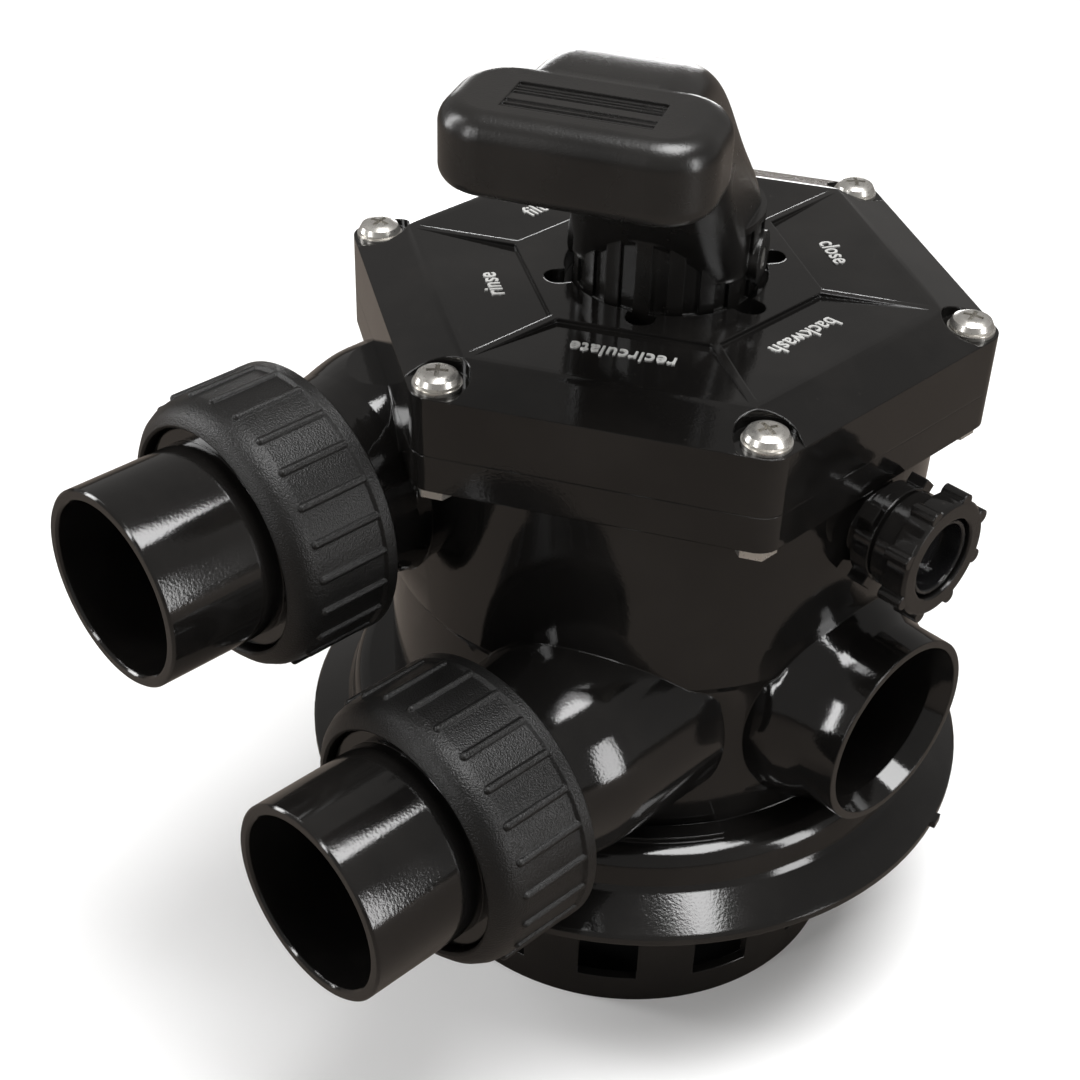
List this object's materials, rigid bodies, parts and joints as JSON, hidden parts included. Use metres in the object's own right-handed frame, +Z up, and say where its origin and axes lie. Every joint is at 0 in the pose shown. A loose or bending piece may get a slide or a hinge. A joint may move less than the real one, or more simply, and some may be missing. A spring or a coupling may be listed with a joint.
{
  "type": "multiport valve",
  "caption": "Top-mount selector valve for a pool or spa filter tank: hexagonal lid with lever handle, two union ports, waste port, sight glass and clamp flange.",
  "frame": {"origin": "centre of the riser socket's mouth, on the valve's main axis, level with the bottom of the skirt", "axes": "+Z up along the main axis towards the lid, -Y the way both union ports point, +X the way the waste port points"},
  "size_m": [0.205, 0.2625, 0.3005],
  "materials": {
    "gloss_black": "glossy moulded black",
    "satin_black": "satin, finely textured black",
    "inner_grey": "dark grey moulded",
    "seal_rubber": "matt black rubber",
    "slip_white": "natural low-friction plastic",
    "stainless": "polished stainless",
    "smoked_clear": "smoked clear plastic"
  },
  "bodies": {
    "housing": {"valve_body": "gloss_black", "riser_sleeve": "gloss_black", "skirt": "gloss_black", "lid": "gloss_black", "lid_seal": "seal_rubber", "lid_screws": "stainless", "lid_washers": "stainless", "lid_nuts": "stainless", "seat_gasket": "seal_rubber", "tank_gasket": "seal_rubber", "riser_oring": "seal_rubber", "pump_oring": "seal_rubber", "return_oring": "seal_rubber", "sight_adapter": "gloss_black", "sight_oring": "seal_rubber"},
    "spring_pack": {"rotor_spring": "stainless", "slip_washer": "slip_white"},
    "diverter": {"rotor": "inner_grey", "stem_orings": "seal_rubber", "handle_pin": "stainless"},
    "lever": {"handle": "gloss_black"},
    "pump_union_tail": {"pump_tail": "gloss_black"},
    "pump_union_nut": {"pump_nut": "satin_black"},
    "return_union_tail": {"return_tail": "gloss_black"},
    "return_union_nut": {"return_nut": "satin_black"},
    "sight_cup": {"sight_glass": "smoked_clear"},
    "sight_hand_nut": {"sight_nut": "gloss_black"}
  },
  "joints": [
    {"name": "selector_turn", "type": "hinge", "parent": "housing", "child": "spring_pack", "pos_m": [0, 0, 0.2], "axis": [0, 0, 1], "continuous": true},
    {"name": "rotor_lift", "type": "slide", "parent": "spring_pack", "child": "diverter", "axis": [0, 0, 1], "range_m": [0, 0.0053], "deforming": ["rotor_spring"]},
    {"name": "handle_press", "type": "hinge", "parent": "diverter", "child": "lever", "pos_m": [0, 0, 0.228], "axis": [0.887, 0.4617, 0], "range_deg": [0, 12], "stiffness_Nm_per_rad": 12, "springref_deg": -8.59},
    {"name": "pump_tail_draw", "type": "slide", "parent": "housing", "child": "pump_union_tail", "axis": [0, -1, 0], "range_m": [0, 0.0161]},
    {"name": "pump_nut_spin", "type": "hinge", "parent": "pump_union_tail", "child": "pump_union_nut", "pos_m": [-0.038, -0.11, 0.1688], "axis": [0, -1, 0], "range_deg": [0, 1440]},
    {"name": "return_tail_draw", "type": "slide", "parent": "housing", "child": "return_union_tail", "axis": [0, -1, 0], "range_m": [0, 0.0161]},
    {"name": "return_nut_spin", "type": "hinge", "parent": "return_union_tail", "child": "return_union_nut", "pos_m": [0.038, -0.11, 0.115], "axis": [0, -1, 0], "range_deg": [0, 1440]},
    {"name": "sight_draw", "type": "slide", "parent": "housing", "child": "sight_cup", "axis": [1, 0, 0], "range_m": [0, 0.0076]},
    {"name": "sight_nut_spin", "type": "hinge", "parent": "sight_cup", "child": "sight_hand_nut", "pos_m": [0.095, 0, 0.1767], "axis": [1, 0, 0], "range_deg": [0, 1080]}
  ],
  "couplings": [
    {"joint": "rotor_lift", "follows": "handle_press", "m_per_rad": 0.025},
    {"joint": "pump_tail_draw", "follows": "pump_nut_spin", "m_per_rad": 0.00063662},
    {"joint": "return_tail_draw", "follows": "return_nut_spin", "m_per_rad": 0.00063662},
    {"joint": "sight_draw", "follows": "sight_nut_spin", "m_per_rad": 0.00039789}
  ]
}
